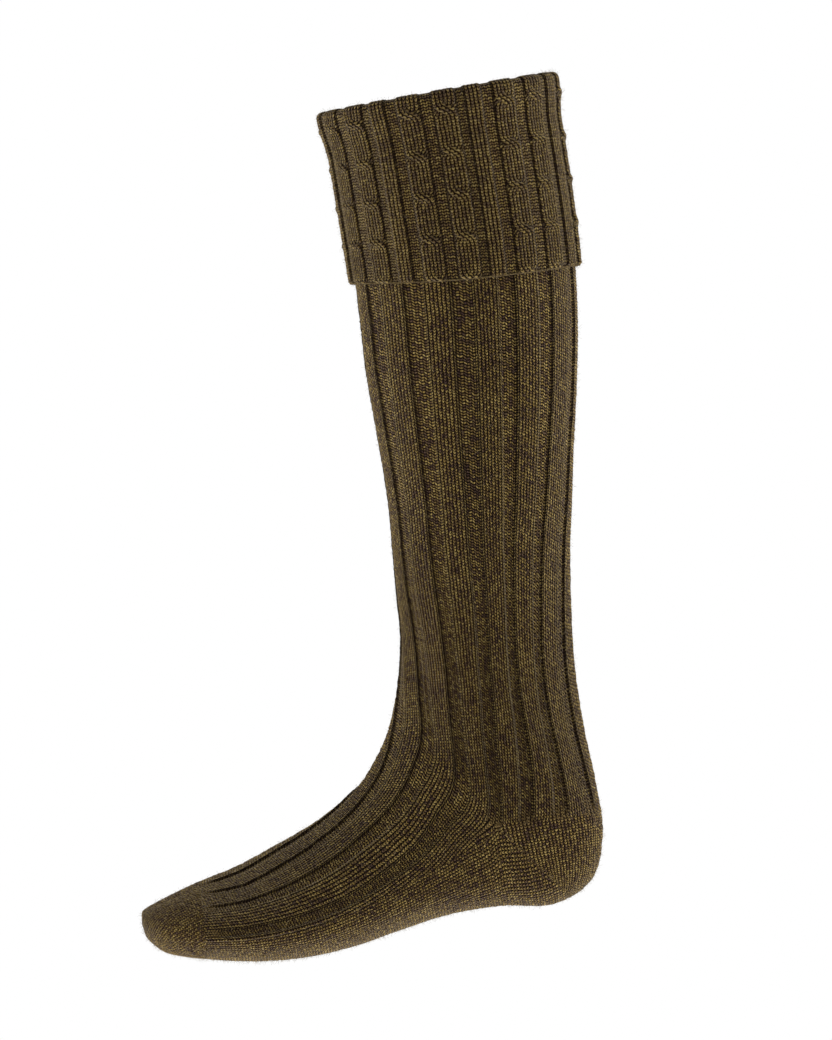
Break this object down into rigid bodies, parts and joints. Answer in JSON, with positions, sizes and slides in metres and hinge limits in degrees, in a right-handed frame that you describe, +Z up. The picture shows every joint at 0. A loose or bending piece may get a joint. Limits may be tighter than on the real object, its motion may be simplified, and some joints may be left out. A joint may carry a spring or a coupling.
{
  "type": "knee sock",
  "caption": "Knee-high ribbed wool sock in its worn shape, open at the mouth, with a turned-over cable-knit cuff and a plain heel and toe.",
  "frame": {"origin": "the place on the sole's inner face where the wearer's heel sits", "axes": "+Z up the leg, towards the mouth; -X towards the toe; -Y towards the wearer's left, which is the outer side on a left foot"},
  "size_m": [0.3133, 0.1163, 0.47],
  "materials": {
    "cuff_knit": "olive-brown marled wool, cable knit",
    "rib_knit": "olive-brown marled wool, wide rib knit",
    "plain_knit": "olive-brown marled wool, plain knit"
  },
  "bodies": {
    "root": {"cuff": "cuff_knit", "leg": "rib_knit", "heel": "plain_knit", "foot": "rib_knit", "toe": "plain_knit"}
  },
  "joints": []
}
